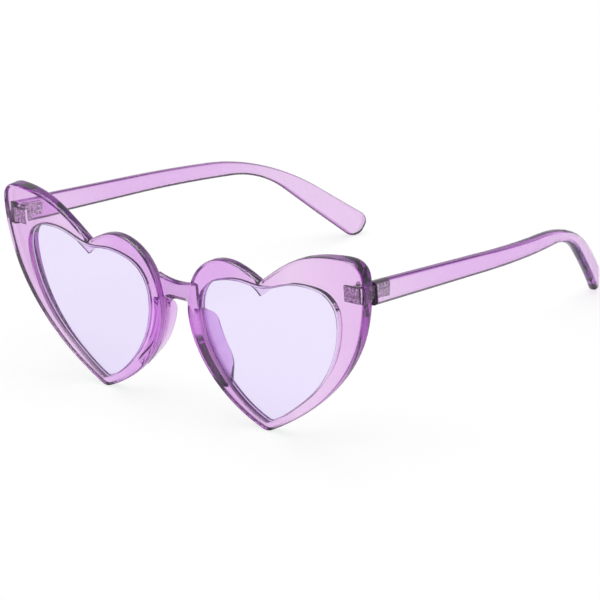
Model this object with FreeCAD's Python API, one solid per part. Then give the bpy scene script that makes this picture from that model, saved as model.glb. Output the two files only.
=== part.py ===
import FreeCAD, Part
import math
import os

# Heart-rimmed sunglasses: one moulded front, two lenses, two arms and two three-knuckle hinges.
# Millimetres. +Z is up, the front looks along -Y, the arms run along +Y, and X is the width.
# The glasses stand open on the two heart tips and the two arm tips, which all touch Z = 0.
# The +X side is the wearer's left. Every sided piece is drawn there and mirrored for the right.

Vector = FreeCAD.Vector

# Front moulding: place and bow of the two hearts. It is RIM_DEPTH thick and grows to END_DEPTH
# at the hinge ends, between END_START and END_FULL across from the heart's middle.
HEART_X = 34.0
WRAP_RADIUS = 890.0
RIM_DEPTH = 3.8
END_DEPTH = 5.6
END_START = 8.0
END_FULL = 39.0
BACK_STEPS = 8
RIM_FRONT_RADIUS = 0.8
RIM_BACK_RADIUS = 1.6
RIM_TIP_RADIUS = 4.0
RIM_CLEFT_RADIUS = 0.9

# Rim outline as (across from the heart's middle, up), from the tip round the outer lobe to the cleft
RIM_OUTER_LOBE = [
    (-0.6, -0.386), (11.2, 6.3), (21.2, 14.0), (29.9, 23.8), (35.5, 34.0), (38.3, 44.5), (39.0, 54.0),
    (38.3, 57.2), (36.2, 59.3), (31.0, 60.15), (22.6, 59.4), (14.4, 56.8), (7.2, 52.5), (0.9, 47.9),
]
# and from the cleft round the inner lobe and the nose side back to the tip
RIM_INNER_LOBE = [
    (0.9, 47.9), (-4.6, 50.7), (-11.4, 52.4), (-18.4, 50.9), (-23.4, 47.2), (-26.8, 41.6),
    (-28.4, 34.5), (-28.0, 27.8), (-25.7, 21.1), (-19.6, 12.0), (-9.2, 3.7), (-0.6, -0.386),
]

# Lens opening, from its tip round the outer lobe, the soft cleft and the inner lobe back to the tip
OPENING = [
    (-0.3, 2.7), (5.9, 6.3), (11.1, 10.1), (18.9, 17.0), (26.0, 27.8), (28.5, 37.6), (27.9, 44.1),
    (25.0, 47.6), (19.3, 49.2), (11.6, 48.7), (5.8, 46.9), (0.0, 46.0), (-6.2, 46.6), (-12.8, 46.0),
    (-19.3, 43.4), (-22.9, 38.0), (-23.2, 30.4), (-19.8, 20.2), (-13.7, 11.9), (-6.8, 6.0), (-0.3, 2.7),
]
OPENING_TIP_RADIUS = 2.4
OPENING_EDGE_RADIUS = 0.4

# A pointed ledge hangs into the opening at its cleft, a little under the front face
LEDGE_SETBACK = 0.3
LEDGE_POINT = (1.0, 43.4)
LEDGE_OUTER_SIDE = [(7.8, 47.7), (5.2, 46.3), LEDGE_POINT]
LEDGE_INNER_SIDE = [LEDGE_POINT, (-1.0, 45.4), (-4.4, 46.6)]
LEDGE_ROOT = (0.9, 46.9)
LEDGE_POINT_RADIUS = 0.4

# Lens and its groove
LENS_THICKNESS = 1.5
LENS_SETBACK = 1.3
GROOVE_DEPTH = 0.45
LENS_CLEARANCE = 0.05

# Bridge bar between the rims, set back from their faces
BRIDGE_SETBACK = 2.3
BRIDGE_TOP_Z = 40.5
BRIDGE_TOP_RISE = 1.4
BRIDGE_HEIGHT = 6.5
BRIDGE_THICKNESS = 2.7
BRIDGE_ARCH_RADIUS = 3.2
BRIDGE_ROOT = 2.6
BRIDGE_EDGE_RADIUS = 1.2
BRIDGE_UNDER_BEVEL = 2.1
BRIDGE_HEEL_RADIUS = 0.4

# Nose pads, moulded with the front
PAD_TOP_Z = 34.8
PAD_TOP_FALL = 5.0
PAD_BACK_HEIGHT = 14.0
PAD_FOOT_HEIGHT = 5.5
PAD_RUN_OUT = 7.5
PAD_ROOT_THICKNESS = 4.4
PAD_TAIL_THICKNESS = 1.9
PAD_ROOT = 0.8
PAD_REACH = 6.6
PAD_SPLAY = 16.0
PAD_SHOULDER_RADIUS = 5.0
PAD_HEEL_RADIUS = 6.0
PAD_EDGE_RADIUS = 0.8

# Arms
ARM_INSET = 0.0
ARM_THICKNESS = 3.2
ARM_GAP = 0.3
ARM_ROOT_TOP_Z = 52.7
ARM_ROOT_HEIGHT = 7.5
ARM_TOP_DROP = 9.2
ARM_UNDER_DROP = 7.9
ARM_STRAIGHT = 52.0
ARM_BOW_RADIUS = 178.0
ARM_EDGE_RADIUS = 1.4
BEND_Y = 115.5
BEND_TOP_RADIUS = 80.0
BEND_UNDER_RADIUS = 34.0
PADDLE_TOP_DROP = 42.0
PADDLE_UNDER_DROP = 46.4
PADDLE_WIDTH = 8.6
PADDLE_END_LEAN = 60.0
PADDLE_END_RADIUS = 3.8
TIP_RADIUS = 3.5

# Hinges
HINGE_UNDER_ARM_TOP = 3.6
HINGE_HEIGHT = 4.8
BARREL_RADIUS = 1.3
BARREL_TO_ARM = 0.3
BARREL_TO_FRONT = 0.5
KNUCKLE_GAP = 0.1
KNUCKLES = 3
FRONT_ANCHOR_WIDTH = 5.4
FRONT_ANCHOR_DEPTH = 1.5
FRONT_ANCHOR_SHIFT = -0.8
ARM_ANCHOR_START = 0.1
ARM_ANCHOR_LENGTH = 5.8
ARM_ANCHOR_DEPTH = 1.7
ARM_ANCHOR_HEIGHT = 3.8
ANCHOR_CLEARANCE = 0.05
ANCHOR_GROOVES = 3
ANCHOR_GROOVE_WIDTH = 0.5
ANCHOR_GROOVE_DEPTH = 0.3
SCREW_RADIUS = 0.7
SCREW_HEAD_RADIUS = 1.15
SCREW_HEAD_HEIGHT = 0.7
SCREW_SLOT_WIDTH = 0.35
SCREW_SLOT_DEPTH = 0.35
SCREW_SEAT_CLEARANCE = 0.02
SCREW_RUNNING_CLEARANCE = 0.05

# How far cutting solids reach past what they cut, and how near counts as touching
SPARE = 20.0
CLOSE = 0.01

# Places that follow from the sizes above
RIM_REACH = max(across for across, up in RIM_OUTER_LOBE)
NOSE_HALF_GAP = HEART_X + min(across for across, up in RIM_INNER_LOBE)
ARM_OUTER_X = HEART_X + RIM_REACH - ARM_INSET
ARM_INNER_X = ARM_OUTER_X - ARM_THICKNESS
HINGE_X = ARM_INNER_X - BARREL_TO_ARM - BARREL_RADIUS
HINGE_Z = ARM_ROOT_TOP_Z - HINGE_UNDER_ARM_TOP
BRIDGE_UNDER_Z = BRIDGE_TOP_Z - BRIDGE_HEIGHT
PAD_ROOT_Y = RIM_DEPTH - PAD_ROOT
PAD_SHOULDER_Z = PAD_TOP_Z - PAD_TOP_FALL
PAD_HEEL_Z = PAD_SHOULDER_Z - PAD_BACK_HEIGHT
PAD_BOTTOM_Z = PAD_HEEL_Z - PAD_FOOT_HEIGHT


def bow_y(across, depth):
    """Place along Y of a point that lies this deep under the bowed front face."""
    radius = WRAP_RADIUS - depth
    return WRAP_RADIUS - math.sqrt(radius ** 2 - across ** 2)


def front_y(across):
    """Place along Y of the front's face at a place in its width."""
    return bow_y(across, 0.0)


def back_y(across):
    """Place along Y of the front's back at a place in its width."""
    share = (abs(across) - HEART_X - END_START) / (END_FULL - END_START)
    share = min(max(share, 0.0), 1.0)
    growth = share ** 2 * (3.0 - 2.0 * share)
    return bow_y(across, RIM_DEPTH + (END_DEPTH - RIM_DEPTH) * growth)


HINGE_Y = bow_y(HINGE_X, END_DEPTH) + BARREL_TO_FRONT + BARREL_RADIUS
ARM_ROOT_Y = bow_y(ARM_OUTER_X, END_DEPTH) + ARM_GAP
BEND_TOP_Z = ARM_ROOT_TOP_Z - math.tan(math.radians(ARM_TOP_DROP)) * (BEND_Y - ARM_ROOT_Y)


def front_view(points):
    """Outline points moved from the heart's middle to its place in the width."""
    return [Vector(HEART_X + across, 0.0, up) for across, up in points]


def spline(points):
    """A smooth edge through the points."""
    curve = Part.BSplineCurve()
    curve.interpolate(points)
    return curve.toShape()


def line(start, end):
    return Part.LineSegment(start, end).toShape()


def rounded_outline(corners):
    """A closed outline of straight runs. Each corner is (point, radius of its rounding)."""
    runs = []
    count = len(corners)
    for index, (corner, radius) in enumerate(corners):
        before = (corners[index - 1][0] - corner).normalize()
        after = (corners[(index + 1) % count][0] - corner).normalize()
        half_angle = before.getAngle(after) / 2.0
        length = radius / math.tan(half_angle)
        inward = (before + after).normalize()
        middle = corner + inward * (radius / math.sin(half_angle) - radius)
        runs.append((corner + before * length, middle, corner + after * length))
    edges = []
    for index, (start, middle, end) in enumerate(runs):
        if start.distanceToPoint(end) > CLOSE:
            edges.append(Part.Arc(start, middle, end).toShape())
        edges.append(line(end, runs[(index + 1) % count][0]))
    return edges


def prism(edges, direction):
    """A solid from a closed outline drawn out along a direction."""
    return Part.Face(Part.Wire(Part.__sortEdges__(edges))).extrude(direction)


def through_front(edges):
    """A prism along the depth that passes through the front on both sides."""
    solid = prism(edges, Vector(0.0, 2.0 * SPARE, 0.0))
    solid.translate(Vector(0.0, -SPARE, 0.0))
    return solid


def behind(depth):
    """Everything behind the bowed surface that lies this deep under the front face."""
    height = 2.0 * (ARM_ROOT_TOP_Z + SPARE)
    return Part.makeCylinder(WRAP_RADIUS - depth, height, Vector(0.0, WRAP_RADIUS, -SPARE))


def behind_back():
    """Everything behind the back of the front's +X half."""
    step = (END_FULL - END_START) / BACK_STEPS
    first = HEART_X + END_START
    places = [-SPARE, 0.0, HEART_X / 2.0, HEART_X]
    places += [first + index * step for index in range(BACK_STEPS + 2)]
    places.append(HEART_X + RIM_REACH + SPARE)
    points = [Vector(across, back_y(across), -SPARE) for across in places]
    ends = [Vector(point.x, back_y(0.0) + SPARE, -SPARE) for point in (points[0], points[-1])]
    outline = [spline(points), line(points[-1], ends[1]), line(ends[1], ends[0]), line(ends[0], points[0])]
    return prism(outline, Vector(0.0, 0.0, 2.0 * (ARM_ROOT_TOP_Z + SPARE)))


def bowed_slab(solid, near, far):
    """The part of a solid between two depths under the bowed front face."""
    return solid.common(behind(near)).cut(behind(far))


def edges_along_depth(solid, points):
    """The edges of a prism that run along the depth through the given outline points."""
    found = []
    for edge in solid.Edges:
        middle = edge.CenterOfMass
        for point in points:
            if math.hypot(middle.x - point.x, middle.z - point.z) < CLOSE:
                found.append(edge)
    return found


def edges_on(solid, surface):
    """The edges of a solid that lie in a surface, given as its place along Y over the width."""
    found = []
    for edge in solid.Edges:
        ends = [edge.valueAt(edge.FirstParameter), edge.valueAt(edge.LastParameter)]
        if all(abs(point.y - surface(point.x)) < CLOSE for point in ends):
            found.append(edge)
    return found


def hole_edges(solid, surface):
    """The edges round the opening in the face that lies in a surface."""
    found = []
    for face in solid.Faces:
        if len(face.Wires) > 1 and len(edges_on(face, surface)) == len(face.Edges):
            for wire in face.Wires:
                if not wire.isSame(face.OuterWire):
                    found += wire.Edges
    return found


def mirrored(shape):
    return shape.mirror(Vector(0.0, 0.0, 0.0), Vector(1.0, 0.0, 0.0))


def grown(points, amount):
    """An anticlockwise outline moved out by an amount, point by point along the curve's normal."""
    curve = Part.BSplineCurve()
    curve.interpolate(front_view(points))
    moved = []
    for across, up in points[1:-1]:
        along = curve.tangent(curve.parameter(Vector(HEART_X + across, 0.0, up)))[0]
        moved.append((across + amount * along.z, up - amount * along.x))
    starting = curve.tangent(curve.FirstParameter)[0]
    ending = curve.tangent(curve.LastParameter)[0]
    spread = amount / math.sin(starting.getAngle(-ending) / 2.0)
    outward = (ending - starting).normalize()
    tip = (points[0][0] + spread * outward.x, points[0][1] + spread * outward.z)
    return [tip] + moved + [tip]


def opening_prism(growth):
    """The lens opening as a prism, made larger all round by the growth."""
    points = front_view(grown(OPENING, growth))
    solid = through_front([spline(points)])
    return solid.makeFillet(OPENING_TIP_RADIUS + growth, edges_along_depth(solid, points[:1]))


def cleft_ledge():
    """The pointed ledge at the opening's cleft, rooted in the rim above it."""
    outer = front_view(LEDGE_OUTER_SIDE)
    inner = front_view(LEDGE_INNER_SIDE)
    root = front_view([LEDGE_ROOT])[0]
    solid = through_front([spline(outer), spline(inner), line(inner[-1], root), line(root, outer[0])])
    solid = solid.makeFillet(LEDGE_POINT_RADIUS, edges_along_depth(solid, inner[:1]))
    return bowed_slab(solid, LEDGE_SETBACK, LENS_SETBACK + LENS_THICKNESS / 2.0)


def rim():
    """One heart rim with its opening, cleft ledge and lens groove."""
    solid = through_front([spline(front_view(RIM_OUTER_LOBE)), spline(front_view(RIM_INNER_LOBE))])
    solid = solid.makeFillet(RIM_TIP_RADIUS, edges_along_depth(solid, front_view(RIM_OUTER_LOBE[:1])))
    solid = solid.makeFillet(RIM_CLEFT_RADIUS, edges_along_depth(solid, front_view(RIM_OUTER_LOBE[-1:])))
    solid = solid.common(behind(0.0)).cut(behind_back())
    solid = solid.makeFillet(RIM_FRONT_RADIUS, edges_on(solid, front_y))
    solid = solid.makeFillet(RIM_BACK_RADIUS, edges_on(solid, back_y))
    solid = solid.cut(opening_prism(0.0))
    solid = solid.makeFillet(OPENING_EDGE_RADIUS, hole_edges(solid, front_y) + hole_edges(solid, back_y))
    groove_near = LENS_SETBACK - LENS_CLEARANCE
    groove_far = LENS_SETBACK + LENS_THICKNESS + LENS_CLEARANCE
    groove = bowed_slab(opening_prism(GROOVE_DEPTH + LENS_CLEARANCE), groove_near, groove_far)
    return solid.fuse(cleft_ledge()).cut(groove)


def lens():
    return bowed_slab(opening_prism(GROOVE_DEPTH), LENS_SETBACK, LENS_SETBACK + LENS_THICKNESS)


def bridge_edges(solid, depth, underneath):
    """The bridge's long edges at a depth, along its underside or along its top."""
    found = []
    for edge in edges_on(solid, lambda across: bow_y(across, depth)):
        middle = edge.CenterOfMass
        if abs(middle.x) < NOSE_HALF_GAP - CLOSE and (middle.z < BRIDGE_UNDER_Z + CLOSE) == underneath:
            found.append(edge)
    return found


def bridge():
    """The bar between the rims, arched and bevelled underneath and dished on top."""
    half_gap = NOSE_HALF_GAP
    half_root = half_gap + BRIDGE_ROOT
    foot_z = BRIDGE_UNDER_Z - BRIDGE_ARCH_RADIUS
    end_z = BRIDGE_TOP_Z + BRIDGE_TOP_RISE
    left_top = Vector(-half_root, 0.0, end_z)
    right_top = Vector(half_root, 0.0, end_z)
    right_foot = Vector(half_root, 0.0, foot_z)
    left_foot = Vector(-half_root, 0.0, foot_z)
    spring = half_gap - BRIDGE_ARCH_RADIUS
    slack = BRIDGE_ARCH_RADIUS * (1.0 - math.sqrt(0.5))
    arch_right = [
        Vector(half_gap, 0.0, foot_z),
        Vector(half_gap - slack, 0.0, BRIDGE_UNDER_Z - slack),
        Vector(spring, 0.0, BRIDGE_UNDER_Z),
    ]
    arch_left = [Vector(-point.x, 0.0, point.z) for point in reversed(arch_right)]
    outline = [
        Part.Arc(left_top, Vector(0.0, 0.0, BRIDGE_TOP_Z), right_top).toShape(),
        line(right_top, right_foot),
        line(right_foot, arch_right[0]),
        Part.Arc(*arch_right).toShape(),
        line(arch_right[2], arch_left[0]),
        Part.Arc(*arch_left).toShape(),
        line(arch_left[2], left_foot),
        line(left_foot, left_top),
    ]
    back = BRIDGE_SETBACK + BRIDGE_THICKNESS
    solid = bowed_slab(through_front(outline), BRIDGE_SETBACK, back)
    tops = bridge_edges(solid, BRIDGE_SETBACK, False) + bridge_edges(solid, back, False)
    solid = solid.makeFillet(BRIDGE_EDGE_RADIUS, tops)
    solid = solid.makeChamfer(BRIDGE_UNDER_BEVEL, bridge_edges(solid, BRIDGE_SETBACK, True))
    return solid.makeFillet(BRIDGE_HEEL_RADIUS, bridge_edges(solid, back, True))


def pad_face(points, shift, slope, reach):
    """All to one side of a pad's face, which follows the rim's nose line and leans towards the back."""
    near = spline([point + Vector(shift, 0.0, 0.0) for point in points])
    far = spline([point + Vector(shift + reach, 0.0, 0.0) for point in points])
    top = line(near.firstVertex().Point, far.firstVertex().Point)
    bottom = line(near.lastVertex().Point, far.lastVertex().Point)
    length = RIM_DEPTH + PAD_REACH + SPARE
    solid = prism([near, far, top, bottom], Vector(slope * length, length, 0.0))
    solid.translate(Vector(-slope * PAD_ROOT_Y, 0.0, 0.0))
    return solid


def nose_pad():
    """A leaf that leaves the nose side of the rim, thins and spreads outward towards the back."""
    lowest = PAD_BOTTOM_Z - PAD_RUN_OUT
    highest = PAD_TOP_Z + PAD_RUN_OUT
    nose_line = front_view([point for point in RIM_INNER_LOBE if lowest < point[1] < highest])
    tail_y = RIM_DEPTH + PAD_REACH
    nose_slope = math.tan(math.radians(PAD_SPLAY))
    lens_slope = nose_slope - (PAD_ROOT_THICKNESS - PAD_TAIL_THICKNESS) / (tail_y - PAD_ROOT_Y)
    leaf = pad_face(nose_line, 0.0, nose_slope, SPARE)
    leaf = leaf.common(pad_face(nose_line, PAD_ROOT_THICKNESS, lens_slope, -SPARE))
    side = [
        (Vector(0.0, PAD_ROOT_Y, PAD_TOP_Z), 0.0),
        (Vector(0.0, tail_y, PAD_SHOULDER_Z), PAD_SHOULDER_RADIUS),
        (Vector(0.0, tail_y, PAD_HEEL_Z), PAD_HEEL_RADIUS),
        (Vector(0.0, RIM_DEPTH, PAD_BOTTOM_Z), 0.0),
        (Vector(0.0, PAD_ROOT_Y, PAD_BOTTOM_Z), 0.0),
    ]
    leaf = leaf.common(prism(rounded_outline(side), Vector(HEART_X, 0.0, 0.0)))
    round_edges = [edge for edge in leaf.Edges if edge.CenterOfMass.y > RIM_DEPTH + PAD_REACH / 4.0]
    return leaf.makeFillet(PAD_EDGE_RADIUS, round_edges)


def anchor_grooves(block, along_x):
    """Grooves across a block's top and bottom that key it into the plastic."""
    box = block.BoundBox
    start = box.XMin if along_x else box.YMin
    span = box.XLength if along_x else box.YLength
    tools = []
    for index in range(ANCHOR_GROOVES):
        place = start + span * (index + 1) / (ANCHOR_GROOVES + 1) - ANCHOR_GROOVE_WIDTH / 2.0
        for bottom in (box.ZMin - ANCHOR_GROOVE_DEPTH, box.ZMax - ANCHOR_GROOVE_DEPTH):
            size = [SPARE, ANCHOR_GROOVE_WIDTH, 2.0 * ANCHOR_GROOVE_DEPTH]
            corner = Vector(box.Center.x - SPARE / 2.0, place, bottom)
            if along_x:
                size = [ANCHOR_GROOVE_WIDTH, SPARE, 2.0 * ANCHOR_GROOVE_DEPTH]
                corner = Vector(place, box.Center.y - SPARE / 2.0, bottom)
            tools.append(Part.makeBox(*size, corner))
    return block.cut(Part.makeCompound(tools))


def front_anchor(clearance):
    """The hinge's block in the front, or with a clearance the pocket that takes it."""
    left = HINGE_X + FRONT_ANCHOR_SHIFT - FRONT_ANCHOR_WIDTH / 2.0
    back = back_y(left)
    corner = Vector(left - clearance, back - FRONT_ANCHOR_DEPTH - clearance, 0.0)
    corner.z = HINGE_Z - HINGE_HEIGHT / 2.0 - clearance
    depth = FRONT_ANCHOR_DEPTH + clearance
    if clearance:
        depth += HINGE_Y - back
    return Part.makeBox(
        FRONT_ANCHOR_WIDTH + 2.0 * clearance, depth, HINGE_HEIGHT + 2.0 * clearance, corner
    )


def arm_anchor(clearance):
    """The hinge's tongue in the arm, or with a clearance the pocket that takes it."""
    corner = Vector(ARM_INNER_X, HINGE_Y + ARM_ANCHOR_START - clearance, 0.0)
    corner.z = HINGE_Z - ARM_ANCHOR_HEIGHT / 2.0 - clearance
    depth = ARM_ANCHOR_DEPTH + clearance
    if clearance:
        corner.x -= BARREL_TO_ARM / 2.0
        depth += BARREL_TO_ARM / 2.0
    return Part.makeBox(
        depth, ARM_ANCHOR_LENGTH + 2.0 * clearance, ARM_ANCHOR_HEIGHT + 2.0 * clearance, corner
    )


def sloped_with_arm(shape):
    """A piece of the hinge turned to lie along the arm's sloping top edge."""
    turned = shape.copy()
    turned.rotate(Vector(HINGE_X, HINGE_Y, HINGE_Z), Vector(1.0, 0.0, 0.0), -ARM_TOP_DROP)
    return turned


def knuckle_levels():
    """Bottom and top of the three knuckles, from the lowest up."""
    height = (HINGE_HEIGHT - (KNUCKLES - 1) * KNUCKLE_GAP) / KNUCKLES
    foot = HINGE_Z - HINGE_HEIGHT / 2.0
    levels = []
    for index in range(KNUCKLES):
        bottom = foot + index * (height + KNUCKLE_GAP)
        levels.append((bottom, bottom + height))
    return levels


def barrel(bottom, top, radius):
    return Part.makeCylinder(radius, top - bottom, Vector(HINGE_X, HINGE_Y, bottom))


def front_leaf():
    """Outer knuckles on a block that is set into the back of the front."""
    solid = anchor_grooves(front_anchor(0.0), True)
    root_y = solid.BoundBox.YMax - ANCHOR_GROOVE_DEPTH
    levels = knuckle_levels()
    for bottom, top in (levels[0], levels[2]):
        corner = Vector(HINGE_X - BARREL_RADIUS, root_y, bottom)
        web = Part.makeBox(2.0 * BARREL_RADIUS, HINGE_Y - root_y, top - bottom, corner)
        solid = solid.fuse(web).fuse(barrel(bottom, top, BARREL_RADIUS))
        solid = solid.cut(barrel(bottom, top, SCREW_RADIUS + SCREW_SEAT_CLEARANCE))
    return solid.removeSplitter()


def arm_leaf():
    """Middle knuckle on a tongue that is set into the inside of the arm."""
    solid = sloped_with_arm(anchor_grooves(arm_anchor(0.0), False))
    bottom, top = knuckle_levels()[1]
    start = ARM_ANCHOR_START + math.tan(math.radians(ARM_TOP_DROP)) * (top - bottom) / 2.0
    corner = Vector(HINGE_X, HINGE_Y + start, bottom)
    length = ARM_INNER_X + ARM_ANCHOR_DEPTH / 2.0 - HINGE_X
    solid = solid.fuse(Part.makeBox(length, BARREL_RADIUS - start, top - bottom, corner))
    solid = solid.fuse(barrel(bottom, top, BARREL_RADIUS))
    solid = solid.cut(barrel(bottom, top, SCREW_RADIUS + SCREW_RUNNING_CLEARANCE))
    return solid.removeSplitter()


def hinge_screw():
    """Slotted screw down through the three knuckles, its head on the top one."""
    levels = knuckle_levels()
    seat = levels[2][1]
    solid = barrel(levels[0][0], seat, SCREW_RADIUS)
    solid = solid.fuse(barrel(seat, seat + SCREW_HEAD_HEIGHT, SCREW_HEAD_RADIUS))
    corner = Vector(HINGE_X - 2.0 * SCREW_HEAD_RADIUS, HINGE_Y - SCREW_SLOT_WIDTH / 2.0, 0.0)
    corner.z = seat + SCREW_HEAD_HEIGHT - SCREW_SLOT_DEPTH
    slot = Part.makeBox(4.0 * SCREW_HEAD_RADIUS, SCREW_SLOT_WIDTH, SCREW_HEAD_HEIGHT, corner)
    return solid.cut(slot).removeSplitter()


def meeting(start, start_angle, end, end_angle):
    """Where two lines in the side view meet. Each is a point (y, z) and its slope in degrees."""
    slope = math.tan(math.radians(start_angle))
    other = math.tan(math.radians(end_angle))
    y = (end[1] - start[1] + slope * start[0] - other * end[0]) / (slope - other)
    return (y, start[1] + slope * (y - start[0]))


def arm_tip_y():
    """Where the rounded tip stands, as far under the paddle's top edge as the paddle is wide."""
    drop = math.radians(PADDLE_TOP_DROP)
    fall = (BEND_TOP_Z - TIP_RADIUS) * math.cos(drop) - (PADDLE_WIDTH - TIP_RADIUS)
    return BEND_Y + fall / math.sin(drop)


def arm_side_outline():
    """Side view of the arm: a tapering bar that bends down to a rounded paddle on the ground."""
    root_top = (ARM_ROOT_Y, ARM_ROOT_TOP_Z)
    root_under = (ARM_ROOT_Y, ARM_ROOT_TOP_Z - ARM_ROOT_HEIGHT)
    bend_top = (BEND_Y, BEND_TOP_Z)
    under = math.radians(PADDLE_UNDER_DROP)
    end = math.radians(PADDLE_END_LEAN)
    tip_y = arm_tip_y()
    tip_under = (tip_y - TIP_RADIUS * math.sin(under), TIP_RADIUS - TIP_RADIUS * math.cos(under))
    tip_end = (tip_y + TIP_RADIUS * math.sin(end), TIP_RADIUS - TIP_RADIUS * math.cos(end))
    end_top = meeting(bend_top, -PADDLE_TOP_DROP, tip_end, PADDLE_END_LEAN)
    end_under = meeting(tip_under, -PADDLE_UNDER_DROP, tip_end, PADDLE_END_LEAN)
    bend_under = meeting(root_under, -ARM_UNDER_DROP, tip_under, -PADDLE_UNDER_DROP)
    corners = [
        (root_top, 0.0), (bend_top, BEND_TOP_RADIUS), (end_top, PADDLE_END_RADIUS),
        (end_under, TIP_RADIUS), (bend_under, BEND_UNDER_RADIUS), (root_under, 0.0),
    ]
    return rounded_outline([(Vector(0.0, y, z), radius) for (y, z), radius in corners])


def arm_plan_face(x):
    """Straight run and inward bow of one side of the arm in plan, from its root past its tip."""
    bow_start = ARM_ROOT_Y + ARM_STRAIGHT
    radius = ARM_BOW_RADIUS - (ARM_OUTER_X - x)
    centre_x = x - radius
    last = math.asin((arm_tip_y() + SPARE - bow_start) / ARM_BOW_RADIUS)
    points = []
    for angle in (0.0, last / 2.0, last):
        points.append(Vector(centre_x + radius * math.cos(angle), bow_start + radius * math.sin(angle), 0.0))
    return [line(Vector(x, ARM_ROOT_Y, 0.0), points[0]), Part.Arc(*points).toShape()]


def is_across(edge):
    """True for an edge that runs straight or round through the arm's thickness."""
    ends = [edge.valueAt(edge.FirstParameter), edge.valueAt(edge.LastParameter)]
    return abs(ends[0].x - ends[1].x) > ARM_THICKNESS / 2.0 and abs(ends[0].y - ends[1].y) < ARM_THICKNESS


def arm():
    """One arm, bowed inward behind the ear, with the pocket for its hinge tongue."""
    side = prism(arm_side_outline(), Vector(ARM_OUTER_X + SPARE, 0.0, 0.0))
    outer = arm_plan_face(ARM_OUTER_X)
    inner = arm_plan_face(ARM_INNER_X)
    root = line(inner[0].firstVertex().Point, outer[0].firstVertex().Point)
    end = line(inner[1].lastVertex().Point, outer[1].lastVertex().Point)
    plan = prism(outer + inner + [root, end], Vector(0.0, 0.0, ARM_ROOT_TOP_Z + SPARE))
    solid = side.common(plan)
    round_edges = [edge for edge in solid.Edges if not is_across(edge)]
    solid = solid.makeFillet(ARM_EDGE_RADIUS, round_edges)
    return solid.cut(sloped_with_arm(arm_anchor(ANCHOR_CLEARANCE)))


def front():
    """Both rims, the bridge and the nose pads as one moulding, with pockets for the hinge blocks."""
    half = rim().fuse(nose_pad())
    half = half.cut(front_anchor(ANCHOR_CLEARANCE))
    return half.fuse(mirrored(half)).fuse(bridge()).removeSplitter()


def export(name, shape):
    shape.exportStep("parts/" + name + ".step")
    print(name, shape.isValid(), len(shape.Solids), round(shape.Volume, 2), shape.optimalBoundingBox())


pieces = {"front_frame": front()}
sided = {
    "lens": lens(),
    "temple": arm(),
    "front_hinge_leaf": front_leaf(),
    "temple_hinge_leaf": arm_leaf(),
    "hinge_screw": hinge_screw(),
}
for piece, shape in sided.items():
    pieces["left_" + piece] = shape
    pieces["right_" + piece] = mirrored(shape)

# The origin is on the ground, half way between the front face and the arm tips
boxes = [shape.optimalBoundingBox() for shape in pieces.values()]
middle_y = (min(box.YMin for box in boxes) + max(box.YMax for box in boxes)) / 2.0
os.makedirs("parts", exist_ok=True)
for name, shape in pieces.items():
    shape.translate(Vector(0.0, -middle_y, 0.0))
    export(name, shape)
print("middle_y", middle_y, "hinge axis", HINGE_X, HINGE_Y - middle_y, HINGE_Z)
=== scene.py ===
import math

import bpy
from mathutils import Matrix, Vector


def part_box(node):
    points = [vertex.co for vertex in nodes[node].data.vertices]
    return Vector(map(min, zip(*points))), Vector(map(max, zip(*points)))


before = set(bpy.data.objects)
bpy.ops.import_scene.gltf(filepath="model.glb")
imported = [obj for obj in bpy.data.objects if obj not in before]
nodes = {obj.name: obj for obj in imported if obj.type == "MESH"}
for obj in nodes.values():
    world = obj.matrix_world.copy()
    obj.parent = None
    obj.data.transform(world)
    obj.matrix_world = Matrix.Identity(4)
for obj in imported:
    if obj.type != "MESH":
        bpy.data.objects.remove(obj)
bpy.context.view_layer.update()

# Lengths are in metres. A pair named reach, fade, start or end holds the value where an effect begins
# and the one where it is full, and may run either way.
SIDES = ("left", "right")
WHITE = (1.0, 1.0, 1.0, 1.0)

# Camera: the photograph's angle, in degrees, with the lens and the sensor in millimetres
CAMERA_AZIMUTH = 42.228
CAMERA_ELEVATION = 21.427
CAMERA_ROLL = -4.509
CAMERA_DISTANCE = 0.92062
CAMERA_TARGET = Vector((0.03721, -0.057946, 0.03761))
CAMERA_LENS = 186.463
CAMERA_SENSOR = 36.0
CAMERA_CLIP_START = 0.05

# Clear lilac plastic: how strongly it bends light, and the tint that light takes on inside it
PLASTIC_IOR = 1.53
FRONT_DEPTH_TINT = {"Color": (0.75, 0.13, 0.83, 1.0), "Density": 115.0}
ARM_DEPTH_TINT = {"Color": (0.71, 0.11, 0.81, 1.0), "Density": 155.0}
PLASTIC_RIPPLE_SCALE = 110.0
PLASTIC_RIPPLE_BUMP = 0.05
PLASTIC_HAZE = 0.02
# Its faces drift slowly between two tones
PLASTIC_PALE = (0.95, 0.955, 0.95, 1.0)
PLASTIC_DEEP = (0.92, 0.91, 0.93, 1.0)
TONE_SCALE = 35.0
TONE_DETAIL = 2.0
# The front gets painted shade, deeper towards the nose and deepest in the bridge: distances from its middle
NOSE_PAINTED_SHADE = (0.84, 0.64, 0.91, 1.0)
NOSE_REACH = (0.046, 0.022)
BRIDGE_PAINTED_SHADE = (0.72, 0.51, 0.79, 1.0)
BRIDGE_REACH = (0.0075, 0.0050)
# The arms are deeper in colour along their middle: distances behind their butt ends
ARM_MIDDLE_COLOR = (0.90, 0.80, 0.935, 1.0)
ARM_MIDDLE_START = (0.008, 0.040)
ARM_MIDDLE_END = (0.108, 0.085)

# Walls and rounded edges get painted shade, purple on walls that face the side and grey on walls that
# face up. They are told by the cosine of the turn from the broad faces, which look along Y on the front
# and the lenses, and along X on the arms
ALONG_X = (1.0, 0.0, 0.0)
ALONG_Y = (0.0, 1.0, 0.0)
PLASTIC_EDGE_REACH = (0.86, 0.60)
PLASTIC_EDGE_ROUGHNESS = 0.06
SIDE_EDGE_PAINTED_SHADE = (0.40, 0.14, 0.44, 1.0)
UPPER_EDGE_PAINTED_SHADE = (0.26, 0.19, 0.28, 1.0)
UPPER_EDGE_REACH = (0.2, 0.7)
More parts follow.
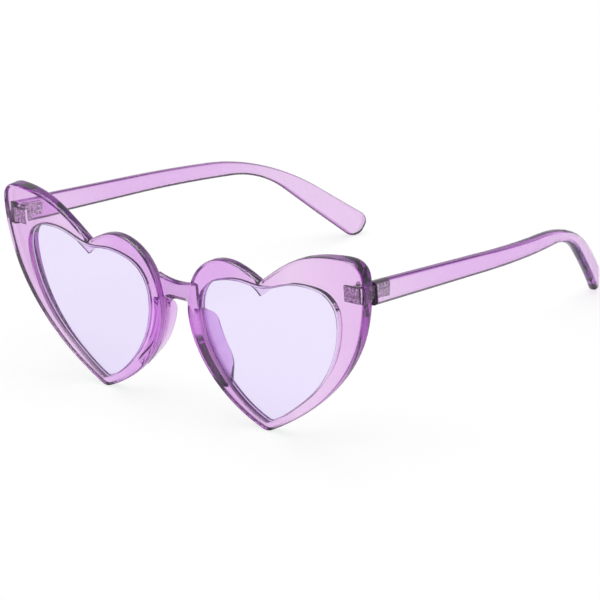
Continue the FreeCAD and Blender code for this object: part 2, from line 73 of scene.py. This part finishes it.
# The painted wall shade ends where the nose pads start, behind the front's bowed face, and short of the
# arms' butt ends, and this share of it is left there
FRONT_BOW_RADIUS = 0.89
PAD_FADE = (0.0052, 0.0066)
BUTT_FADE = (0.0065, 0.0045)
FADED_EDGE = 0.12
# The walls that face the nose keep little painted shade on the outside: their reach to each side, and up to
# the bridge
NOSE_WALL_INNER = (0.0050, 0.0062)
NOSE_WALL_OUTER = (0.0210, 0.0170)
NOSE_WALL_TOP = (0.0350, 0.0325)
# The outer walls keep less painted shade where they are seen through the plastic: distances from the middle
OUTER_WALL_REACH = (0.036, 0.048)
OUTER_WALL_EDGE = 0.35

# Lavender lenses: a touch deeper at the foot than at the top, with rough ground edges that carry painted
# shade
LENS_IOR = 1.49
LENS_LOW_COLOR = (0.82, 0.745, 0.98, 1.0)
LENS_TOP_COLOR = (0.84, 0.77, 0.98, 1.0)
LENS_HEIGHT_REACH = (0.002, 0.050)
LENS_RIPPLE_SCALE = 25.0
LENS_RIPPLE_BUMP = 0.02
LENS_HAZE = 0.01
LENS_EDGE_PAINTED_SHADE = (0.12, 0.09, 0.14, 1.0)
LENS_EDGE_REACH = (0.7, 0.5)
LENS_EDGE_ROUGHNESS = 0.5

# Ripples and haze that a mould leaves, on plastic and lenses alike
RIPPLE_DETAIL = 1.0
RIPPLE_DEPTH = 0.0002
HAZE_SCALE = 400.0
HAZE_DETAIL = 3.0
HAZE_REACH = (0.3, 0.7)
# Light that gets through on its way to the floor
PLASTIC_SHADOW_TINT = (0.83, 1.0, 0.81, 1.0)
LENS_SHADOW_TINT = (0.95, 0.93, 0.98, 1.0)

# Dull stamped metal of the hinges, and the smoother turned metal of their screws
HINGE_PALE = (0.95, 0.90, 0.95, 1.0)
HINGE_DARK = (0.16, 0.12, 0.16, 1.0)
HINGE_ROUGHNESS = 0.4
SCREW_PALE = (0.60, 0.56, 0.60, 1.0)
SCREW_DARK = (0.35, 0.32, 0.36, 1.0)
SCREW_ROUGHNESS = 0.3
GRAIN_SCALE = 2300.0
GRAIN_DETAIL = 1.0
GRAIN_REACH = (0.30, 0.68)
PIT_SCALE = 900.0
PIT_BUMP = 0.6
PIT_DEPTH = 0.0002

# Floor: pale paper just under the glasses, lifted a little where it is seen. It is partly plain white near
# the middle, and wholly further out
FLOOR_HALF_SIZE = 3.0
FLOOR_DROP = 0.00002
FLOOR_COLOR = (0.9, 0.9, 0.9, 1.0)
FLOOR_LIFT = 0.13
FLOOR_WHITE_REACH = (0.09, 0.19)
FLOOR_WHITE_NEAR = 0.62
# Brightness of the room round the glasses, by height from the horizon (0) to straight up (1)
ROOM = [(0.0, 1.0), (0.04, 1.0), (0.12, 0.10), (0.65, 0.05)]
# What polished surfaces mirror: a white room, with a light panel overhead
MIRRORED_ROOM = 0.8
PANEL_LEVEL = 7.0
PANEL_REACH = (0.76, 0.94)
# Soft box straight above, with its power in watts
BOX_HEIGHT = 1.0
BOX_SIZE = 1.2
BOX_POWER = 13.7
# Clear plastic needs many passes of light
LIGHT_BOUNCES = 32
MIRROR_BOUNCES = 16

FLOAT = "NodeSocketFloat"
COLOR = "NodeSocketColor"
VECTOR = "NodeSocketVector"
# A Mix node's two inputs and its result, by the kind of value that it blends
BLEND_SOCKETS = {"FLOAT": (2, 3, 0), "RGBA": (6, 7, 2)}


def put(tree, socket, value):
    """Sets an input to a plain value, or links it from another socket."""
    if isinstance(value, bpy.types.NodeSocket):
        tree.links.new(value, socket)
    else:
        socket.default_value = value


def add(tree, kind, **inputs):
    """A node with its named inputs."""
    node = tree.nodes.new(kind)
    for name, value in inputs.items():
        put(tree, node.inputs[name.replace("_", " ")], value)
    return node


def work_out(tree, operation, *values, kind="ShaderNodeMath"):
    """One step of arithmetic."""
    node = tree.nodes.new(kind)
    node.operation = operation
    for socket, value in zip(node.inputs, values):
        put(tree, socket, value)
    return node.outputs["Value"]


def ramp(tree, value, reach, low=0.0, high=1.0):
    """Goes from low to high as a value goes from the first end of its reach to the second."""
    start, full = reach
    node = add(tree, "ShaderNodeMapRange", Value=value, From_Min=start, From_Max=full,
               To_Min=low, To_Max=high)
    return node.outputs["Result"]


def blend(tree, kind, share, low, high):
    """A number or a colour between two others."""
    node = tree.nodes.new("ShaderNodeMix")
    node.data_type = kind
    first, second, result = BLEND_SOCKETS[kind]
    for index, value in ((0, share), (first, low), (second, high)):
        put(tree, node.inputs[index], value)
    return node.outputs[result]


def mix_shaders(tree, share, first, second):
    node = tree.nodes.new("ShaderNodeMixShader")
    for socket, value in zip(node.inputs, (share, first, second)):
        put(tree, socket, value)
    return node.outputs["Shader"]


def place_axis(tree, axis):
    """Where a point lies along one axis of the glasses."""
    place = add(tree, "ShaderNodeTexCoord")
    return add(tree, "ShaderNodeSeparateXYZ", Vector=place.outputs["Object"]).outputs[axis]


def noise(tree, scale, detail):
    """Soft clouds from 0 to 1, fixed to the glasses."""
    place = add(tree, "ShaderNodeTexCoord")
    clouds = add(tree, "ShaderNodeTexNoise", Vector=place.outputs["Object"], Scale=scale, Detail=detail)
    return clouds.outputs["Fac"]


def new_group(name, inputs, outputs):
    """A shader node group with named sockets, and the ends to build it between."""
    group = bpy.data.node_groups.new(name, "ShaderNodeTree")
    for sockets, way in ((inputs, "INPUT"), (outputs, "OUTPUT")):
        for socket_name, kind in sockets.items():
            group.interface.new_socket(name=socket_name, in_out=way, socket_type=kind)
    return group, group.nodes.new("NodeGroupInput").outputs, group.nodes.new("NodeGroupOutput").inputs


def use_group(tree, group, **inputs):
    """Places a group in a material, with that material's own values."""
    node = tree.nodes.new("ShaderNodeGroup")
    node.node_tree = group
    for name, value in inputs.items():
        put(tree, node.inputs[name.replace("_", " ")], value)
    return node.outputs


def moulding_flow():
    """Slow ripples and a faint haze, as left by plastic flowing through a mould."""
    group, given, result = new_group("moulding_flow", {"Ripple Scale": FLOAT, "Most Haze": FLOAT},
                                     {"Height": FLOAT, "Haze": FLOAT})
    put(group, result["Height"], noise(group, given["Ripple Scale"], RIPPLE_DETAIL))
    clouds = noise(group, HAZE_SCALE, HAZE_DETAIL)
    put(group, result["Haze"], ramp(group, clouds, HAZE_REACH, high=given["Most Haze"]))
    return group


def drifting_tone():
    """A colour that drifts slowly between a pale and a deep one."""
    group, given, result = new_group("drifting_tone", {"Pale": COLOR, "Deep": COLOR}, {"Color": COLOR})
    clouds = noise(group, TONE_SCALE, TONE_DETAIL)
    put(group, result["Color"], blend(group, "RGBA", clouds, given["Pale"], given["Deep"]))
    return group


def moulded_edge():
    """How far a surface has turned away from the piece's broad faces, over its edges and walls."""
    group, given, result = new_group("moulded_edge", {"Across": VECTOR, "Start": FLOAT, "Full": FLOAT},
                                     {"Edge": FLOAT})
    normal = add(group, "ShaderNodeTexCoord").outputs["Normal"]
    facing = work_out(group, "DOT_PRODUCT", normal, given["Across"], kind="ShaderNodeVectorMath")
    broad = work_out(group, "ABSOLUTE", facing)
    put(group, result["Edge"], ramp(group, broad, (given["Start"], given["Full"])))
    return group


def painted_edge_shade():
    """The painted shade of an edge or a wall, by whether it faces up or to the side."""
    group, given, result = new_group("painted_edge_shade", {"Side": COLOR, "Upper": COLOR}, {"Color": COLOR})
    normal = add(group, "ShaderNodeTexCoord").outputs["Normal"]
    rise = add(group, "ShaderNodeSeparateXYZ", Vector=normal).outputs["Z"]
    upward = ramp(group, rise, UPPER_EDGE_REACH)
    put(group, result["Color"], blend(group, "RGBA", upward, given["Side"], given["Upper"]))
    return group


def side_mask():
    """A mask by the distance to either side of the middle of the glasses."""
    group, given, result = new_group("side_mask", {"Start": FLOAT, "Full": FLOAT}, {"Mask": FLOAT})
    distance = work_out(group, "ABSOLUTE", place_axis(group, "X"))
    put(group, result["Mask"], ramp(group, distance, (given["Start"], given["Full"])))
    return group


def setback_mask():
    """A mask by the distance behind a face, which lies at a Y in the middle and bows back with X squared."""
    inputs = {"Face": FLOAT, "Bow": FLOAT, "Start": FLOAT, "Full": FLOAT}
    group, given, result = new_group("setback_mask", inputs, {"Mask": FLOAT})
    x = place_axis(group, "X")
    square = work_out(group, "MULTIPLY", x, x)
    face = work_out(group, "MULTIPLY_ADD", square, given["Bow"], given["Face"])
    distance = work_out(group, "SUBTRACT", place_axis(group, "Y"), face)
    put(group, result["Mask"], ramp(group, distance, (given["Start"], given["Full"])))
    return group


def metal_grain():
    """Specks between two tones, and shallow pits."""
    group, given, result = new_group("metal_grain", {"Pale": COLOR, "Dark": COLOR},
                                     {"Color": COLOR, "Pits": FLOAT})
    specks = ramp(group, noise(group, GRAIN_SCALE, GRAIN_DETAIL), GRAIN_REACH)
    put(group, result["Color"], blend(group, "RGBA", specks, given["Dark"], given["Pale"]))
    place = add(group, "ShaderNodeTexCoord")
    pits = add(group, "ShaderNodeTexVoronoi", Vector=place.outputs["Object"], Scale=PIT_SCALE)
    put(group, result["Pits"], pits.outputs["Distance"])
    return group


FLOW = moulding_flow()
TONE = drifting_tone()
EDGE = moulded_edge()
EDGE_SHADE_PAINT = painted_edge_shade()
TO_THE_SIDE = side_mask()
SET_BACK = setback_mask()
GRAIN = metal_grain()


def aside(tree, reach):
    """A mask to either side of the middle."""
    start, full = reach
    return use_group(tree, TO_THE_SIDE, Start=start, Full=full)["Mask"]


def behind_front(tree, reach):
    """A mask behind the front's bowed face."""
    start, full = reach
    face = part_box("front_frame")[0].y
    bow = 1.0 / (2.0 * FRONT_BOW_RADIUS)
    return use_group(tree, SET_BACK, Face=face, Bow=bow, Start=start, Full=full)["Mask"]


def behind_butt(tree, reach):
    """A mask behind the arms' flat butt ends, which lie at one place along Y."""
    start, full = reach
    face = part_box("left_temple")[0].y
    return use_group(tree, SET_BACK, Face=face, Bow=0.0, Start=start, Full=full)["Mask"]


def seen_from_within(tree):
    """1 where a surface is seen from inside its piece, and 0 where from outside."""
    return add(tree, "ShaderNodeNewGeometry").outputs["Backfacing"]


def paler(tree, share, mask, least):
    """A share that falls to its least part where a mask is full."""
    kept = work_out(tree, "MULTIPLY_ADD", mask, least - 1.0, 1.0)
    return work_out(tree, "MULTIPLY", share, kept)


def front_face(tree, tone):
    """The front's face colour, with painted shade deeper towards the nose and deepest in the bridge."""
    for color, reach in ((NOSE_PAINTED_SHADE, NOSE_REACH), (BRIDGE_PAINTED_SHADE, BRIDGE_REACH)):
        tone = blend(tree, "RGBA", aside(tree, reach), tone, color)
    return tone


def front_wall_shade(tree, share):
    """The front's painted wall shade, which leaves out the pads and the outside of the walls at the nose."""
    share = paler(tree, share, behind_front(tree, PAD_FADE), FADED_EDGE)
    nose = work_out(tree, "SUBTRACT", 1.0, seen_from_within(tree))
    for mask in (aside(tree, NOSE_WALL_INNER), aside(tree, NOSE_WALL_OUTER),
                 ramp(tree, place_axis(tree, "Z"), NOSE_WALL_TOP)):
        nose = work_out(tree, "MULTIPLY", nose, mask)
    return paler(tree, share, nose, FADED_EDGE)


def arm_face(tree, tone):
    """The arms' face colour, deeper along their middle."""
    start = behind_butt(tree, ARM_MIDDLE_START)
    end = behind_butt(tree, ARM_MIDDLE_END)
    return blend(tree, "RGBA", work_out(tree, "MULTIPLY", start, end), tone, ARM_MIDDLE_COLOR)


def arm_wall_shade(tree, share):
    """The arms' painted wall shade, which stops short of the butt ends."""
    return paler(tree, share, behind_butt(tree, BUTT_FADE), FADED_EDGE)


def new_material(name):
    material = bpy.data.materials.new(name)
    material.use_nodes = True
    tree = material.node_tree
    tree.nodes.clear()
    return material, tree, add(tree, "ShaderNodeOutputMaterial").inputs


def clear_skin(tree, ior, flow, bump):
    """A see-through skin with the ripples of its mould."""
    dent = add(tree, "ShaderNodeBump", Height=flow["Height"], Strength=bump, Distance=RIPPLE_DEPTH)
    return add(tree, "ShaderNodeBsdfPrincipled", IOR=ior, Transmission_Weight=1.0,
               Normal=dent.outputs["Normal"])


def shade_edges(tree, skin, flow, share, face_color, edge_shade_color, edge_roughness):
    """The skin's colour and haze on its broad faces, and painted shade and roughness on its edges."""
    put(tree, skin.inputs["Base Color"], blend(tree, "RGBA", share, face_color, edge_shade_color))
    put(tree, skin.inputs["Roughness"], blend(tree, "FLOAT", share, flow["Haze"], edge_roughness))


def lets_light_through(tree, skin, tint):
    """The skin, with a tinted see-through stand-in for rays that only look for a lamp."""
    path = add(tree, "ShaderNodeLightPath")
    clear = add(tree, "ShaderNodeBsdfTransparent", Color=tint)
    return mix_shaders(tree, path.outputs["Is Shadow Ray"], skin.outputs["BSDF"], clear.outputs["BSDF"])


def clear_plastic(name, depth_tint, across, face_of, wall_shade_of):
    """Clear lilac plastic, with the face colour and the painted wall shade of one kind of moulding."""
    material, tree, output = new_material(name)
    flow = use_group(tree, FLOW, Ripple_Scale=PLASTIC_RIPPLE_SCALE, Most_Haze=PLASTIC_HAZE)
    skin = clear_skin(tree, PLASTIC_IOR, flow, PLASTIC_RIPPLE_BUMP)
    face = face_of(tree, use_group(tree, TONE, Pale=PLASTIC_PALE, Deep=PLASTIC_DEEP)["Color"])
    start, full = PLASTIC_EDGE_REACH
    edge = use_group(tree, EDGE, Across=across, Start=start, Full=full)["Edge"]
    outer = work_out(tree, "MULTIPLY", aside(tree, OUTER_WALL_REACH), seen_from_within(tree))
    walls = paler(tree, wall_shade_of(tree, edge), outer, OUTER_WALL_EDGE)
    # Painted shade for the walls: purple where they face the side, grey where they face up
    wall_shade_color = use_group(tree, EDGE_SHADE_PAINT, Side=SIDE_EDGE_PAINTED_SHADE, Upper=UPPER_EDGE_PAINTED_SHADE)["Color"]
    shade_edges(tree, skin, flow, walls, face, wall_shade_color, PLASTIC_EDGE_ROUGHNESS)
    put(tree, output["Surface"], lets_light_through(tree, skin, PLASTIC_SHADOW_TINT))
    put(tree, output["Volume"], add(tree, "ShaderNodeVolumeAbsorption", **depth_tint).outputs["Volume"])
    return material


def tinted_lens():
    material, tree, output = new_material("lavender_lens")
    flow = use_group(tree, FLOW, Ripple_Scale=LENS_RIPPLE_SCALE, Most_Haze=LENS_HAZE)
    skin = clear_skin(tree, LENS_IOR, flow, LENS_RIPPLE_BUMP)
    height = ramp(tree, place_axis(tree, "Z"), LENS_HEIGHT_REACH)
    face = blend(tree, "RGBA", height, LENS_LOW_COLOR, LENS_TOP_COLOR)
    # The ground edges get painted shade, a dark colour, besides their roughness
    start, full = LENS_EDGE_REACH
    edge = use_group(tree, EDGE, Across=ALONG_Y, Start=start, Full=full)["Edge"]
    shade_edges(tree, skin, flow, edge, face, LENS_EDGE_PAINTED_SHADE, LENS_EDGE_ROUGHNESS)
    put(tree, output["Surface"], lets_light_through(tree, skin, LENS_SHADOW_TINT))
    return material


def grained_metal(name, pale, dark, roughness):
    material, tree, output = new_material(name)
    grain = use_group(tree, GRAIN, Pale=pale, Dark=dark)
    dent = add(tree, "ShaderNodeBump", Height=grain["Pits"], Strength=PIT_BUMP, Distance=PIT_DEPTH)
    skin = add(tree, "ShaderNodeBsdfPrincipled", Base_Color=grain["Color"], Metallic=1.0, Roughness=roughness,
               Normal=dent.outputs["Normal"])
    put(tree, output["Surface"], skin.outputs["BSDF"])
    return material


def dress(material, *names):
    """Gives pieces of the glasses their finish."""
    for name in names:
        for slot in nodes[name].material_slots:
            slot.material = material


def dress_glasses():
    dress(clear_plastic("front_plastic", FRONT_DEPTH_TINT, ALONG_Y, front_face, front_wall_shade), "front_frame")
    arm_plastic = clear_plastic("arm_plastic", ARM_DEPTH_TINT, ALONG_X, arm_face, arm_wall_shade)
    lens = tinted_lens()
    stamped = grained_metal("stamped_hinge_metal", HINGE_PALE, HINGE_DARK, HINGE_ROUGHNESS)
    turned = grained_metal("turned_screw_metal", SCREW_PALE, SCREW_DARK, SCREW_ROUGHNESS)
    for side in SIDES:
        dress(arm_plastic, side + "_temple")
        dress(lens, side + "_lens")
        dress(stamped, side + "_front_hinge_leaf", side + "_temple_hinge_leaf")
        dress(turned, side + "_hinge_screw")


def floor_paper():
    """Paper that keeps the shadow, lifted towards white where it is seen straight or through the plastic."""
    material, tree, output = new_material("white_floor")
    paper = add(tree, "ShaderNodeBsdfDiffuse", Color=FLOOR_COLOR)
    path = add(tree, "ShaderNodeLightPath").outputs
    seen = work_out(tree, "MAXIMUM", path["Is Camera Ray"], path["Is Transmission Ray"])
    glow = add(tree, "ShaderNodeEmission", Strength=work_out(tree, "MULTIPLY", seen, FLOOR_LIFT))
    lifted = tree.nodes.new("ShaderNodeAddShader")
    for socket, shader in zip(lifted.inputs, (paper.outputs["BSDF"], glow.outputs["Emission"])):
        put(tree, socket, shader)
    place = add(tree, "ShaderNodeTexCoord")
    away = work_out(tree, "LENGTH", place.outputs["Object"], kind="ShaderNodeVectorMath")
    share = work_out(tree, "MULTIPLY", ramp(tree, away, FLOOR_WHITE_REACH, low=FLOOR_WHITE_NEAR), seen)
    white = add(tree, "ShaderNodeEmission", Color=WHITE, Strength=1.0)
    sheet = mix_shaders(tree, share, lifted.outputs["Shader"], white.outputs["Emission"])
    put(tree, output["Surface"], sheet)
    return material


def floor():
    mesh = bpy.data.meshes.new("floor")
    half = FLOOR_HALF_SIZE
    corners = [(-half, -half, 0.0), (half, -half, 0.0), (half, half, 0.0), (-half, half, 0.0)]
    mesh.from_pydata(corners, [], [(0, 1, 2, 3)])
    mesh.materials.append(floor_paper())
    plane = bpy.data.objects.new("floor", mesh)
    plane.location.z = -FLOOR_DROP
    bpy.context.scene.collection.objects.link(plane)


def studio_world():
    """A soft room for light, a white one for the camera, and a panel overhead for reflections."""
    world = bpy.data.worlds.new("studio")
    bpy.context.scene.world = world
    world.use_nodes = True
    tree = world.node_tree
    tree.nodes.clear()
    output = add(tree, "ShaderNodeOutputWorld").inputs
    place = add(tree, "ShaderNodeTexCoord")
    height = add(tree, "ShaderNodeSeparateXYZ", Vector=place.outputs["Generated"]).outputs["Z"]
    levels = add(tree, "ShaderNodeValToRGB", Fac=height)
    stops = levels.color_ramp.elements
    for position, level in ROOM[1:-1]:
        stops.new(position)
    for stop, (position, level) in zip(stops, ROOM):
        stop.position = position
        stop.color = (level, level, level, 1.0)
    room = add(tree, "ShaderNodeBackground", Color=levels.outputs["Color"])
    mirrored = ramp(tree, height, PANEL_REACH, low=MIRRORED_ROOM, high=PANEL_LEVEL)
    panel = add(tree, "ShaderNodeBackground", Color=WHITE, Strength=mirrored)
    white = add(tree, "ShaderNodeBackground", Color=WHITE)
    path = add(tree, "ShaderNodeLightPath").outputs
    bounced = work_out(tree, "MULTIPLY", path["Is Glossy Ray"], path["Is Reflection Ray"])
    around = mix_shaders(tree, bounced, room.outputs["Background"], panel.outputs["Background"])
    seen = mix_shaders(tree, path["Is Camera Ray"], around, white.outputs["Background"])
    put(tree, output["Surface"], seen)


def soft_box():
    """A square lamp that looks straight down, and isn't itself seen in or through the glasses."""
    light = bpy.data.lights.new("overhead", "AREA")
    light.shape = "SQUARE"
    light.size = BOX_SIZE
    light.energy = BOX_POWER
    lamp = bpy.data.objects.new("overhead", light)
    lamp.location.z = BOX_HEIGHT
    lamp.visible_transmission = False
    lamp.visible_glossy = False
    bpy.context.scene.collection.objects.link(lamp)


def camera():
    turn = math.radians(CAMERA_AZIMUTH)
    rise = math.radians(CAMERA_ELEVATION)
    roll = math.radians(CAMERA_ROLL)
    right = Vector((math.cos(turn), math.sin(turn), 0.0))
    back = Vector((math.sin(turn) * math.cos(rise), -math.cos(turn) * math.cos(rise), math.sin(rise)))
    up = back.cross(right)
    rolled_right = right * math.cos(roll) + up * math.sin(roll)
    rolled_up = up * math.cos(roll) - right * math.sin(roll)
    data = bpy.data.cameras.new("photo_camera")
    data.lens = CAMERA_LENS
    data.sensor_width = CAMERA_SENSOR
    data.clip_start = CAMERA_CLIP_START
    view = bpy.data.objects.new("photo_camera", data)
    axes = Matrix((rolled_right, rolled_up, back)).transposed().to_4x4()
    axes.translation = CAMERA_TARGET + back * CAMERA_DISTANCE
    view.matrix_world = axes
    bpy.context.scene.collection.objects.link(view)
    bpy.context.scene.camera = view


dress_glasses()
floor()
studio_world()
soft_box()
camera()
scene = bpy.context.scene
scene.view_settings.view_transform = "Standard"
scene.cycles.max_bounces = LIGHT_BOUNCES
scene.cycles.glossy_bounces = MIRROR_BOUNCES
scene.cycles.transmission_bounces = LIGHT_BOUNCES
